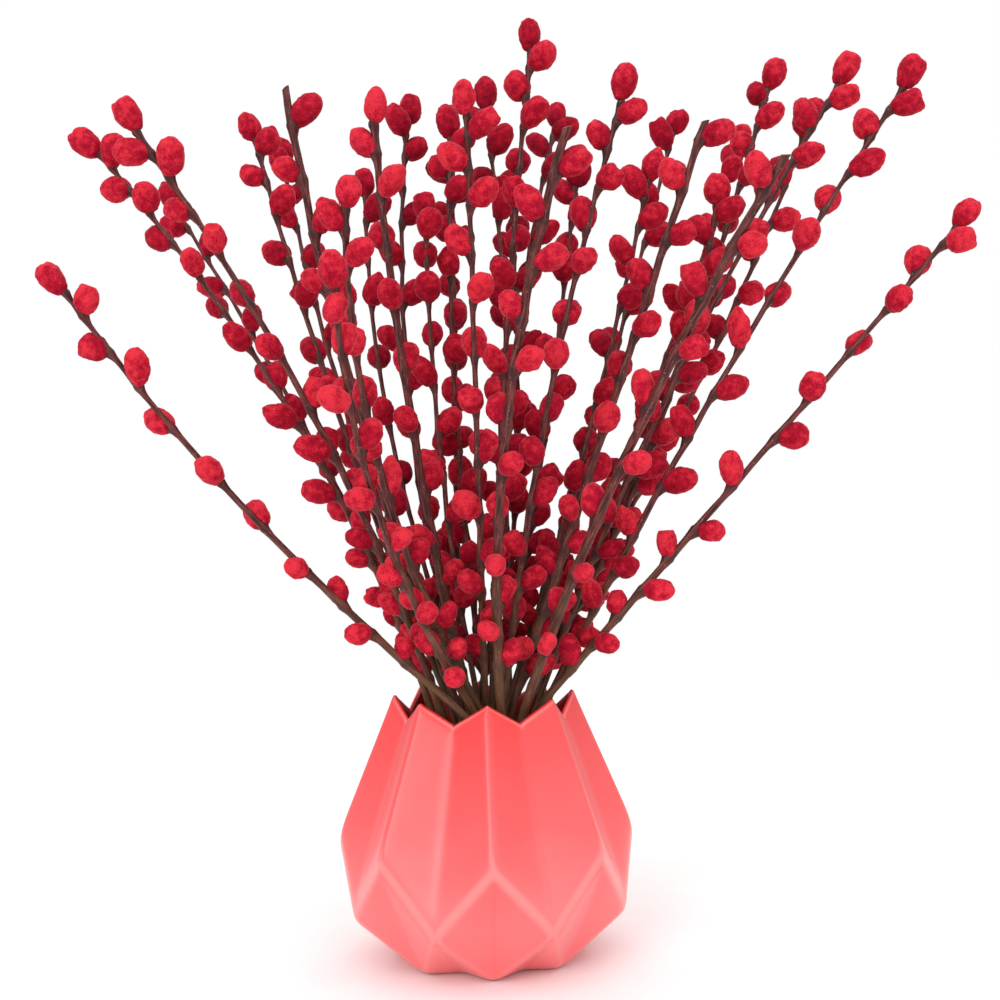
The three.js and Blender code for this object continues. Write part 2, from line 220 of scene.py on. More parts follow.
BRANCH_ROWS = (
    BranchRow((-184, -70, 326), -11, 4.4, 2.4, 31, 190, neck=(-13, -31)),
    BranchRow((-193, 20, 410), 18, 4.2, 2.4, 23, 170),
    BranchRow((-172, 95, 398), 6, 3.6, 2.2, 32, 30),
    BranchRow((-153, -60, 400), 13, 4.6, 2.6, 26, 20),
    BranchRow((-115, 40, 422), -6, 4.2, 2.4, 27, 200),
    BranchRow((-111, 110, 426), -8, 3.8, 2.4, 25, 90),
    BranchRow((-88, -25, 426), -8, 5.2, 4.2, 27, 10, bare=18),
    BranchRow((-58, 55, 394), -13, 3.4, 2.2, 34, 160),
    BranchRow((-55, -125, 316), -13, 4.4, 2.6, 28, 120),
    BranchRow((-53, -95, 356), -16, 4.8, 3, 23, 0, neck=(-4, -21)),
    BranchRow((-44, -50, 404), -5, 5.2, 3.8, 29, 350),
    BranchRow((-36, 85, 441), -14, 3.8, 2.4, 24, 60),
    BranchRow((-24, 15, 372), -5, 3.6, 2.2, 24, 120),
    BranchRow((-12, 100, 418), 0, 3.4, 2.2, 22, 10),
    BranchRow((-11, 45, 422), -6, 3.6, 2.4, 22, 190),
    BranchRow((0, -75, 400), 0, 3.8, 2.4, 23, 200),
    BranchRow((7, 75, 445), 10, 3.4, 2.2, 26, 0, neck=(-1, 12)),
    BranchRow((20, 95, 402), 6, 3.4, 2.2, 22, 80),
    BranchRow((32, 5, 454), -4, 4, 2.6, 21, 170),
    BranchRow((43, -100, 384), -12, 5.4, 4.4, 23, 10, bare=20),
    BranchRow((49, 120, 446), -12, 3.8, 2.4, 21, 200, neck=(12, 31)),
    BranchRow((56, 65, 398), 3, 3.6, 2.2, 22, 340),
    BranchRow((73, -40, 414), -7, 4.2, 2.4, 23, 180),
    BranchRow((92, 25, 392), 4, 3.6, 2.2, 24, 30),
    BranchRow((113, -30, 404), 0, 5, 4, 23, 10, bare=9),
    BranchRow((114, 90, 433), 2, 3.4, 2, 24, 40),
    BranchRow((128, 30, 380), 14, 3.8, 2.4, 25, 190),
    BranchRow((136, -100, 370), -8, 5.4, 4.4, 29, 190, bare=17),
    BranchRow((155, 118, 430), 8, 3.6, 2.2, 25, 300),
    BranchRow((162, 60, 448), 10, 4.4, 2.6, 23, 340),
    BranchRow((189, 10, 434), -10, 3.8, 2.4, 26, 170),
    BranchRow((192, 92, 438), 12, 3.8, 2.4, 24, 60),
    BranchRow((214, -15, 424), -6, 4.2, 2.4, 26, 180),
    BranchRow((224, -60, 347), 1, 4.4, 2.4, 27, 160, neck=(30, -13)),
)


@dataclass(frozen=True)
class FoldRow:
    """One corner of the vase's profile: its radius and height on a ridge, and on a valley."""

    ridge: tuple[float, float]
    valley: tuple[float, float]


OUTER_ROWS = (
    FoldRow((0, 0), (0, 0)),
    FoldRow((45, 0), (34, 0)),
    FoldRow((73, 58.5), (70.5, 27)),
    FoldRow((44, 130), (40, 120)),
)
INNER_ROWS = (
    FoldRow((41.4, 129.4), (37.6, 119.5)),
    FoldRow((69.2, 58.5), (66.3, 28.5)),
    FoldRow((44, 6.5), (36.5, 6.5)),
    FoldRow((0, 6.5), (0, 6.5)),
)


@dataclass
class StemPaths:
    """Finds a clear path for every stem, from its foot in the vase to its tip.

    The stems are followed on shared level heights. They start on the paths they would take alone, and are
    parted round by round until none comes too near another.
    """

    rows: Sequence[BranchRow]
    foot_height: float = 8
    step: float = 20
    neck_level: int = 6
    neck_share: tuple[float, float] = (0.15, 0.25)
    foot_share: float = 0.8
    foot_turn: float = math.radians(60)
    stem_gap: float = 1
    wall_lean: float = 1.3
    gap_centre: tuple[float, float] = (0, 26)
    gap_radius: float = 11
    gap_top_level: int = 10
    rounds: int = 400
    settle_rounds: int = 20
    smoothing: float = 0.5

    @property
    def neck_height(self) -> float:
        """The height of the level at the vase's lip."""
        return self.level_height(self.neck_level)

    def level_height(self, level: int) -> float:
        """Returns a level's height."""
        return self.foot_height + level * self.step

    def radius(self, row: BranchRow, height: float) -> float:
        """Returns a stem's radius at a height, which tapers from the lip to the tip."""
        share = (height - self.neck_height) / (row.tip[2] - self.neck_height)
        return (row.low + (row.top - row.low) * min(max(share, 0), 1)) / 2

    def clear_radius(self, height: float) -> float:
        """Returns the clear radius inside the vase at a height, which its valleys set."""
        lip, girdle, floor = (row.valley for row in INNER_ROWS[:3])
        high, low = (lip, girdle) if height > girdle[1] else (girdle, floor)
        share = (height - low[1]) / (high[1] - low[1])
        return low[0] + (high[0] - low[0]) * min(share, 1)

    def free_path(self, row: BranchRow) -> list[list[float]]:
        """Returns where a stem would run if it had the vase to itself.

        Args:
            row: The branch's sizes.

        Returns:
            X and Y on each level, up to the first level past the tip.
        """
        neck = row.neck or (row.tip[0] * self.neck_share[0], row.tip[1] * self.neck_share[1])
        rise = row.tip[2] - self.neck_height
        slope = ((row.tip[0] - neck[0] + 4 * row.bow) / rise, (row.tip[1] - neck[1]) / rise)
        turn_x = self.foot_share * math.cos(self.foot_turn)
        turn_y = self.foot_share * math.sin(self.foot_turn)
        foot = (neck[0] * turn_x - neck[1] * turn_y, neck[0] * turn_y + neck[1] * turn_x)
        depth = self.neck_height - self.foot_height
        path: list[list[float]] = []
        while len(path) < 2 or self.level_height(len(path) - 1) < row.tip[2]:
            height = self.level_height(len(path))
            share = (height - self.neck_height) / rise
            sunk = (self.neck_height - height) / depth
            swing = (4 * row.bow * share * (1 - share), 0)
            point = []
            for axis in (0, 1):
                if sunk <= 0:
                    point.append(neck[axis] + (row.tip[axis] - neck[axis]) * share + swing[axis])
                    continue
                bend = slope[axis] - (neck[axis] - foot[axis]) / depth
                swept = (foot[axis] - neck[axis]) * sunk
                point.append(neck[axis] + swept - bend * depth * sunk * (1 - sunk) ** 2)
            path.append(point)
        return path

    def push(self, start: np.ndarray, run: np.ndarray, need: np.ndarray) -> tuple[np.ndarray, np.ndarray]:
        """Works out what parts pairs of stem runs that come too near.

        Args:
            start: From the first stem to the second, at each run's lower level.
            run: How that changes up to the next level.
            need: The least distance allowed.

        Returns:
            What to add to the second stem at the lower and at the upper level.
        """
        length = np.sum(run * run, axis=-1)
        nearest = -np.sum(start * run, axis=-1) / np.maximum(length, NO_SQUARE)
        share = np.where(length > NO_SQUARE, np.clip(nearest, 0, 1), 0)
        apart = start + run * share[..., None]
        distance = np.sqrt(np.sum(apart * apart, axis=-1))
        near = (distance < need) & (distance >= NO_LENGTH)
        both = share * share + (1 - share) * (1 - share)
        size = np.where(near, (need - distance) / (2 * np.maximum(distance, NO_LENGTH) * both), 0)
        return apart * (size * (1 - share))[..., None], apart * (size * share)[..., None]

    def spread(self) -> list[list[Vector]]:
        """Parts the stems and returns each one's middle line, ending at its tip's height."""
        free_paths = [self.free_path(row) for row in self.rows]
        counts = np.array([len(path) for path in free_paths])
        levels = int(counts.max())
        free = np.zeros((len(free_paths), levels, 2))
        for i, path in enumerate(free_paths):
            free[i, : len(path)] = path
        paths = free.copy()
        lower = np.arange(levels - 1)
        heights = [self.level_height(level) for level in range(levels)]
        radii = np.array([[self.radius(row, height) for height in heights] for row in self.rows])
        clear = [self.clear_radius(height) for height in heights[: self.neck_level + 1]]
        most = np.array(clear) - self.wall_lean * radii[:, : self.neck_level + 1] - self.stem_gap
        runs = lower[None, :] < counts[:, None] - 1
        both_run = runs[:, None] & runs[None, :] & ~np.eye(len(paths), dtype=bool)[..., None]
        inner = np.arange(1, levels - 1)[None, :] < counts[:, None] - 1
        gap_runs = runs & (lower < self.gap_top_level)
        for round_number in range(self.rounds):
            run = paths[:, 1:] - paths[:, :-1]
            lean = np.sqrt(1 + np.sum(run * run, axis=-1) / self.step**2)
            width = radii[:, :-1] * lean
            between = paths[None, :, :-1] - paths[:, None, :-1]
            need = np.where(both_run, width[:, None] + width[None, :] + self.stem_gap, 0)
            low_push, high_push = self.push(between, run[None] - run[:, None], need)
            to_stem = paths[:, :-1] - np.array(self.gap_centre)
            gap_need = np.where(gap_runs, width + self.gap_radius, 0)
            gap_low, gap_high = self.push(to_stem, run, gap_need)
            paths[:, :-1] += low_push.sum(axis=0) + gap_low
            paths[:, 1:] += high_push.sum(axis=0) + gap_high
            if round_number < self.rounds - self.settle_rounds:
                shift = paths - free
                mean = (shift[:, :-2] + shift[:, 2:]) / 2
                paths[:, 1:-1] += np.where(inner[..., None], self.smoothing * (mean - shift[:, 1:-1]), 0)
            sunk = paths[:, : self.neck_level + 1]
            out = np.sqrt(np.sum(sunk * sunk, axis=-1))
            sunk *= np.where(out > most, most / np.maximum(out, NO_LENGTH), 1)[..., None]
        return [self.line(row, path[:count]) for row, path, count in zip(self.rows, paths, counts)]

    def line(self, row: BranchRow, path: np.ndarray) -> list[Vector]:
        """Returns a path as points in space, with its last point drawn back to the tip's height."""
        points = [Vector((x, y, self.level_height(level))) for level, (x, y) in enumerate(path)]
        last = points.pop()
        before = points[-1]
        share = (row.tip[2] - before.z) / (last.z - before.z)
        points.append(before.lerp(last, share))
        return points


@dataclass
class Station:
    """A node on a stem, where a catkin grows or has fallen off.

    point is the stem's middle there, along its direction upwards, and turn the bearing round the stem.
    """

    point: Vector
    along: Vector
    radius: float
    turn: float = 0
    is_tip: bool = False
    has_catkin: bool = False

    def across(self, turn: float) -> Vector:
        """Returns the direction square to the stem at a bearing from +X."""
        sideways = Vector((1, 0, 0))
        sideways = (sideways - self.along * sideways.dot(self.along)).normalized()
        depthways = self.along.cross(sideways)
        return sideways * math.cos(turn) + depthways * math.sin(turn)


@dataclass
class Catkin:
    """One catkin's place and size: its axis, its middle, and the balls that fill its two ends."""

    axis: Vector
    middle: Vector
    length: float
    width: float
    owner: int
    balls: tuple[Vector, Vector]

    @classmethod
    def grown(
        cls,
        station: Station,
        turn: float,
        lean: float,
        length: float,
        width: float,
        owner: int,
        base_share: float,
    ) -> "Catkin":
        """Grows a catkin out of a station.

        Args:
            station: The node it grows from.
            turn: Its bearing round the stem.
            lean: Its angle to the stem.
            length: Its length.
            width: Its greatest width.
            owner: The number of its stem.
            base_share: How far out its base sits, as a share of the stem's radius.

        Returns:
            The catkin.
        """
        out = station.across(turn)
        axis = station.along * math.cos(lean) + out * math.sin(lean)
        middle = station.point + out * (station.radius * base_share) + axis * (length / 2)
        reach = axis * ((length - width) / 2)
        return cls(axis, middle, length, width, owner, (middle - reach, middle + reach))


@dataclass
class Bunch:
    """All the stems and catkins: who stands where.

    The catkins crowd towards the tips and turn from side to side up the stem. Each takes the first place and
    size that is clear of the other stems and catkins, and where there is none, the node stays bare.
    """

    rows: Sequence[BranchRow]
    length_range: tuple[float, float] = (14, 18.5)
    width_range: tuple[float, float] = (11.6, 14)
    lean_range: tuple[float, float] = (0.7, 0.9)
    tip_lean: float = 0.08
    tip_lean_per_side: float = 0.1
    tip_sink: float = 3
    base_share: float = 0.6
    gap: float = 0.8
    crowding: tuple[float, ...] = (0.5, 0.6, 0.74, 0.88)
    pitch_varies: tuple[float, float] = (0.86, 1.14)
    lowest: float = 139
    lowest_fluff: float = 133
    small_below: float = 215
    small_share: float = 0.85
    low_crowding: float = 0.7
    turn_step: float = 2.83
    turn_varies: tuple[float, float] = (-0.25, 0.25)
    side_tries: tuple[float, ...] = (0, 0.5, -0.5, 1, -1, 1.5, -1.5, 2, -2, 2.6, -2.6, 3.1)
    size_tries: tuple[float, ...] = (1, 0.86, 0.74, 0.64)
    seed_step: int = 977
    lines: list[list[Vector]] = field(default_factory=list)
    stations: list[list[Station]] = field(default_factory=list)
    catkins: list[Catkin] = field(default_factory=list)
    paths: StemPaths = field(init=False)
    run_start: np.ndarray = field(init=False)
    run: np.ndarray = field(init=False)
    run_radius: np.ndarray = field(init=False)
    run_owner: np.ndarray = field(init=False)

    def grow(self) -> None:
        """Lays out the stems and then their catkins, branch by branch."""
        self.paths = StemPaths(self.rows)
        self.lines = self.paths.spread()
        starts, ends, thick, owners = [], [], [], []
        for i, (row, line) in enumerate(zip(self.rows, self.lines)):
            for start, end in zip(line, line[1:]):
                starts.append(start)
                ends.append(end)
                thick.append(self.paths.radius(row, start.z))
                owners.append(i)
        self.run_start = np.array(starts)
        self.run = np.array(ends) - self.run_start
        self.run_radius = np.array(thick)
        self.run_owner = np.array(owners)
        for index in range(len(self.rows)):
            self.stations.append(self.dress(index))

    def station(self, index: int, distance: float) -> Station:
        """Returns the point at a distance down from a stem's tip, with the stem's direction there."""
        line = self.lines[index]
        left = distance
        for i in range(len(line) - 1, 0, -1):
            run = (line[i] - line[i - 1]).length
            if left <= run or i == 1:
                break
            left -= run
        along = (line[i] - line[i - 1]).normalized()
        point = line[i] - along * left
        return Station(point, along, self.paths.radius(self.rows[index], point.z))

    def is_clear(self, catkin: Catkin) -> bool:
        """Says whether the balls at a catkin's ends miss every other stem, catkin and the vase's mouth."""
        radius = catkin.width / 2 + self.gap
        is_low = catkin.middle.z < self.paths.level_height(self.paths.gap_top_level)
        for ball in catkin.balls:
            if ball.z - catkin.width / 2 < self.lowest_fluff:
                return False
            to_gap = (ball.xy - Vector(self.paths.gap_centre)).length
            if is_low and to_gap < self.paths.gap_radius + catkin.width / 2:
                return False
            for other in self.catkins:
                if other.owner == catkin.owner:
                    continue
                need = radius + other.width / 2
                if any((b - ball).length < need for b in other.balls):
                    return False
            centre = np.array(ball)
            to_ball = centre - self.run_start
            lengths = np.sum(self.run * self.run, axis=1)
            share = np.clip(np.sum(to_ball * self.run, axis=1) / lengths, 0, 1)
            distance = np.linalg.norm(to_ball - self.run * share[:, None], axis=1)
            if np.any((distance < radius + self.run_radius) & (self.run_owner != catkin.owner)):
                return False
        return True

    def dress(self, index: int) -> list[Station]:
        """Places a branch's catkins from its tip down.

        Args:
            index: The branch's number, from 0.

        Returns:
            The branch's nodes, bare ones too.
        """
        row = self.rows[index]
        draws = Draws(self.seed_step * (index + 1))
        distance = row.bare
        turn = math.radians(row.side)
        stations: list[Station] = []
        while True:
            station = self.station(index, distance)
            if station.point.z < self.lowest:
                return stations
            is_low = station.point.z < self.small_below
            small = self.small_share if is_low else 1
            length = draws.between(*self.length_range) * small
            width = draws.between(*self.width_range) * small
            lean = draws.between(*self.lean_range)
            station.is_tip = not stations and row.bare == 0
            if station.is_tip:
                station.point = station.point - station.along * self.tip_sink
            station.turn = turn
            for size, side in ((size, side) for size in self.size_tries for side in self.side_tries):
                if station.is_tip:
                    lean = self.tip_lean + self.tip_lean_per_side * abs(side)
                sizes = (length * size, width * size)
                catkin = Catkin.grown(station, turn + side, lean, *sizes, index, self.base_share)
                if self.is_clear(catkin):
                    self.catkins.append(catkin)
                    station.turn = turn + side
                    station.has_catkin = True
                    break
            turn += self.turn_step + draws.between(*self.turn_varies)
            crowded = row.bare == 0 and len(stations) < len(self.crowding)
            crowd = self.crowding[len(stations)] if crowded else 1
            crowd *= self.low_crowding if is_low else 1
            distance += row.pitch * crowd * draws.between(*self.pitch_varies)
            stations.append(station)


# ---- Finishes ----


@dataclass(frozen=True)
class SatinGlaze:
    """Coral satin glaze on slip-cast earthenware.

    A glaze runs thinner over sharp edges and pools in creases, so the colour is deeper in the valleys. The
    paler colour along the ridges and the lip is partly that thinner glaze and partly a painted highlight. The
    colour is painted lightest at the foot, as painted bounce light from the floor, and deepest and most
    saturated near the mouth, with a broad soft shine all over.
    """

    foot: str = "#F66C6E"
    body: str = "#F44E50"
    mouth: str = "#F03436"
    thin_glaze_and_highlight: str = "#FA8684"
    pooled: str = "#E02E38"
    foot_height: float = 30
    mouth_height: float = 120
    cloud_size: float = 32
    cloud_share: float = 0.35
    ripple_size: float = 9
    roughness: float = 0.36

    def material(self) -> bpy.types.Material:
        """Returns the glaze's material, which reads the mesh attribute edge: above 0 paler, a thinner glaze
        and a painted highlight, below 0 pooled.
        """
        material, tree, place = new_material("satin_glaze")
        # Painted bounce light from the floor: the colour is lighter towards the foot and deeper near the
        # mouth.
        height = add_node(tree, "ShaderNodeSeparateXYZ", {"Vector": place}).outputs["Z"]
        floor_bounce_range = {"Value": height, "From Min": self.foot_height * MM, "From Max": self.mouth_height * MM}
        floor_bounce_share = add_node(tree, "ShaderNodeMapRange", floor_bounce_range).outputs["Result"]
        cloud = add_node(tree, "ShaderNodeTexNoise", {"Vector": place, "Scale": per_mm(self.cloud_size)})
        cloud_range = {
            "Value": cloud.outputs["Fac"],
            "To Min": -self.cloud_share / 2,
            "To Max": self.cloud_share / 2,
        }
        uneven = add_node(tree, "ShaderNodeMapRange", cloud_range).outputs["Result"]
        depth = add_node(tree, "ShaderNodeMath", {0: floor_bounce_share, 1: uneven}).outputs["Value"]
        even_stops = ((0.0, linear(self.foot)), (0.5, linear(self.body)), (1.0, linear(self.mouth)))
        even = add_node(tree, "ShaderNodeValToRGB", {"Fac": depth}, even_stops)
        edge = add_node(tree, "ShaderNodeAttribute", attribute_name="edge").outputs["Fac"]
        # Paler along the ridges and the lip: partly a thinner glaze, partly a painted highlight.
        thin_glaze_and_highlight_range = {"Value": edge, "From Min": 0.25, "From Max": 0.9, "To Max": 0.75}
        thin_glaze_and_highlight = add_node(tree, "ShaderNodeMapRange", thin_glaze_and_highlight_range, interpolation_type="SMOOTHSTEP")
        pooled_range = {"Value": edge, "From Min": -0.1, "From Max": -1.0, "To Max": 0.6}
        pooled = add_node(tree, "ShaderNodeMapRange", pooled_range)
        deep = mix_colours(tree, pooled.outputs["Result"], even.outputs["Color"], self.pooled)
        colour = mix_colours(tree, thin_glaze_and_highlight.outputs["Result"], deep, self.thin_glaze_and_highlight)
        ripple = add_node(tree, "ShaderNodeTexNoise", {"Vector": place, "Scale": per_mm(self.ripple_size)})
        relief = {"Height": ripple.outputs["Fac"], "Strength": 0.3, "Distance": 0.3 * MM}
        bump = add_node(tree, "ShaderNodeBump", relief)
        look = {
            "Base Color": colour,
            "Roughness": self.roughness,
            "Coat Weight": 0.5,
            "Coat Roughness": 0.28,
            "Normal": bump.outputs["Normal"],
        }
        give_surface(tree, look)
        return material


@dataclass(frozen=True)
class WillowBark:
    """Thin, tight bark on a one-year willow shoot.

    It is red brown where the sun and the dye reached it and olive brown low down, with fine long streaks,
    small pale breathing pores and a dark swelling under each bud. It shines dully, like waxed paper.
    """

    shadow: str = "#260A0C"
    brown: str = "#4A1A1A"
    warm: str = "#6C302C"
    lit: str = "#8E4A40"
    olive: str = "#6A5432"
    node: str = "#321014"
    pore: str = "#9A7868"
    streak_size: float = 0.9
    patch_size: float = 14
    pore_size: float = 2.2
    olive_from: float = 215
    olive_to: float = 125

    def material(self) -> bpy.types.Material:
        """Returns the bark's material.

        It reads two mesh attributes: grain, the place on the stem as if it stood straight, and node, which
        is 1 on the swellings.
        """
        material, tree, place = new_material("willow_bark")
        grain = add_node(tree, "ShaderNodeAttribute", attribute_name="grain").outputs["Vector"]
        drawn = add_node(tree, "ShaderNodeMapping", {"Vector": grain, "Scale": (1, 1, 0.12)})
        streak_size = {"Vector": drawn.outputs["Vector"], "Scale": per_mm(self.streak_size), "Detail": 4}
        streaks = add_node(tree, "ShaderNodeTexNoise", streak_size)
        streak_stops = (
            (0.3, linear(self.shadow)),
            (0.46, linear(self.brown)),
            (0.58, linear(self.warm)),
            (0.74, linear(self.lit)),
        )
        skin = add_node(tree, "ShaderNodeValToRGB", {"Fac": streaks.outputs["Fac"]}, streak_stops)
        patches = add_node(tree, "ShaderNodeTexNoise", {"Vector": place, "Scale": per_mm(self.patch_size)})
        height = add_node(tree, "ShaderNodeSeparateXYZ", {"Vector": place}).outputs["Z"]
        ageing = {"Value": height, "From Min": self.olive_from * MM, "From Max": self.olive_to * MM}
        age = add_node(tree, "ShaderNodeMapRange", ageing)
        aged = {0: age.outputs["Result"], 1: patches.outputs["Fac"]}
        olive_share = add_node(tree, "ShaderNodeMath", aged, operation="MULTIPLY")
        olive = mix_colours(tree, olive_share.outputs["Value"], skin.outputs["Color"], self.olive)
        pores = add_node(tree, "ShaderNodeTexVoronoi", {"Vector": grain, "Scale": per_mm(self.pore_size)})
        pore_range = {"Value": pores.outputs["Distance"], "From Min": 0.2, "From Max": 0.08, "To Max": 0.55}
        pore_share = add_node(tree, "ShaderNodeMapRange", pore_range)
        pored = mix_colours(tree, pore_share.outputs["Result"], olive, self.pore)
        swollen = add_node(tree, "ShaderNodeAttribute", attribute_name="node").outputs["Fac"]
        colour = mix_colours(tree, swollen, pored, self.node)
        rough = {"Value": streaks.outputs["Fac"], "To Min": 0.42, "To Max": 0.62}
        roughness = add_node(tree, "ShaderNodeMapRange", rough)
        relief = {"Height": streaks.outputs["Fac"], "Strength": 0.6, "Distance": 0.25 * MM}
        bump = add_node(tree, "ShaderNodeBump", relief)
        look = {
            "Base Color": colour,
            "Roughness": roughness.outputs["Result"],
            "Specular IOR Level": 0.3,
            "Normal": bump.outputs["Normal"],
        }
        give_surface(tree, look)
        return material


@dataclass(frozen=True)
class CutWood:
    """Dry willow wood where a shoot was cut: pale straw with darker fibres, and dull all over."""

    wood: str = "#C8A67C"
    fibre: str = "#8E6A48"
    fibre_size: float = 0.8

    def material(self) -> bpy.types.Material:
        """Returns the cut wood's material."""
        material, tree, place = new_material("cut_willow_wood")
        fibres = add_node(tree, "ShaderNodeTexNoise", {"Vector": place, "Scale": per_mm(self.fibre_size)})
        stops = ((0.35, linear(self.fibre)), (0.6, linear(self.wood)))
        colour = add_node(tree, "ShaderNodeValToRGB", {"Fac": fibres.outputs["Fac"]}, stops)
        give_surface(tree, {"Base Color": colour.outputs["Color"], "Roughness": 0.85})
        return material


@dataclass(frozen=True)
class DyedDown:
    """The catkins' silky down, dyed red.

    The dyeing was uneven, from crimson to bright scarlet. The hairs are too fine to see one by one: together
    they look like velvet, with a paler, pinker rim where they stand against the light. The colour is darker
    between tufts, where the same noise sinks the bump: painted shade there, besides the uneven dyeing.
    """

    deep: str = "#4A000E"
    crimson: str = "#82061E"
    red: str = "#AC0E2A"
    scarlet: str = "#DA2E3E"
    rim: str = "#FF8E9A"
    tuft_size: float = 3.2
    tuft_contrast: float = 0.22
    hair_size: float = 0.7
    hair_contrast: float = 0.14

    def tones(
        self, tree: bpy.types.NodeTree, noise: bpy.types.NodeSocket, contrast: float
    ) -> bpy.types.NodeSocket:
        """Spreads a noise over tones so much darker and brighter, which hold uneven dyeing and a painted
        shade in the noise's hollows.
        """
        spread = {"Value": noise, "From Min": 0.3, "From Max": 0.7, "To Min": -contrast, "To Max": contrast}
        return add_node(tree, "ShaderNodeMapRange", spread).outputs["Result"]

    def material(self) -> bpy.types.Material:
        """Returns the down's material, which reads a mesh attribute of uneven dyeing and painted shade, 0 for
        deep and 1 for scarlet.
        """
        material, tree, place = new_material("dyed_catkin_down")
        # Uneven dyeing plus painted shade: darker towards the back middle of the bunch and at each catkin's
        # base.
        dye_and_shade = add_node(tree, "ShaderNodeAttribute", attribute_name="dye_and_shade").outputs["Fac"]
        tuft = {"Vector": place, "Scale": per_mm(self.tuft_size), "Detail": 3}
        tufts = add_node(tree, "ShaderNodeTexNoise", tuft).outputs["Fac"]
        hair = {"Vector": place, "Scale": per_mm(self.hair_size), "Detail": 2}
        hairs = add_node(tree, "ShaderNodeTexNoise", hair).outputs["Fac"]
        # The same noises make the bumps, so the colour is darker in their hollows: painted shade, besides
        # uneven dyeing.
        tuft_dye_and_shade = self.tones(tree, tufts, self.tuft_contrast)
        hair_dye_and_shade = self.tones(tree, hairs, self.hair_contrast)
        with_tufts = add_node(tree, "ShaderNodeMath", {0: dye_and_shade, 1: tuft_dye_and_shade}).outputs["Value"]
        tone_and_shade = add_node(tree, "ShaderNodeMath", {0: with_tufts, 1: hair_dye_and_shade}, use_clamp=True)
        stops = (
            (0.0, linear(self.deep)),
            (0.35, linear(self.crimson)),
            (0.68, linear(self.red)),
            (1.0, linear(self.scarlet)),
        )
        colour = add_node(tree, "ShaderNodeValToRGB", {"Fac": tone_and_shade.outputs["Value"]}, stops)
        coarse = {"Height": tufts, "Strength": 0.5, "Distance": 0.8 * MM}
        tuft_bump = add_node(tree, "ShaderNodeBump", coarse).outputs["Normal"]
        fine = {"Height": hairs, "Strength": 0.7, "Distance": 0.35 * MM, "Normal": tuft_bump}
        bump = add_node(tree, "ShaderNodeBump", fine)
        look = {
            "Base Color": colour.outputs["Color"],
            "Roughness": 0.95,
            "Specular IOR Level": 0.15,
            "Sheen Weight": 0.5,
            "Sheen Roughness": 0.3,
            "Sheen Tint": linear(self.rim),
            "Normal": bump.outputs["Normal"],
        }
        give_surface(tree, look)
        return material


@dataclass(frozen=True)
class StudioPaper:
    """Matt white background paper under the vase."""

    paper: str = "#F7F7F7"
    shade: str = "#F3F3F3"
    fibre_size: float = 60

    def material(self) -> bpy.types.Material:
        """Returns the paper's material."""
        material, tree, place = new_material("studio_paper")
        clouds = add_node(tree, "ShaderNodeTexNoise", {"Vector": place, "Scale": per_mm(self.fibre_size)})
        stops = ((0.3, linear(self.shade)), (0.7, linear(self.paper)))
        colour = add_node(tree, "ShaderNodeValToRGB", {"Fac": clouds.outputs["Fac"]}, stops)
        look = {"Base Color": colour.outputs["Color"], "Roughness": 0.9, "Specular IOR Level": 0.2}
        give_surface(tree, look)
        return material


# ---- The vase ----


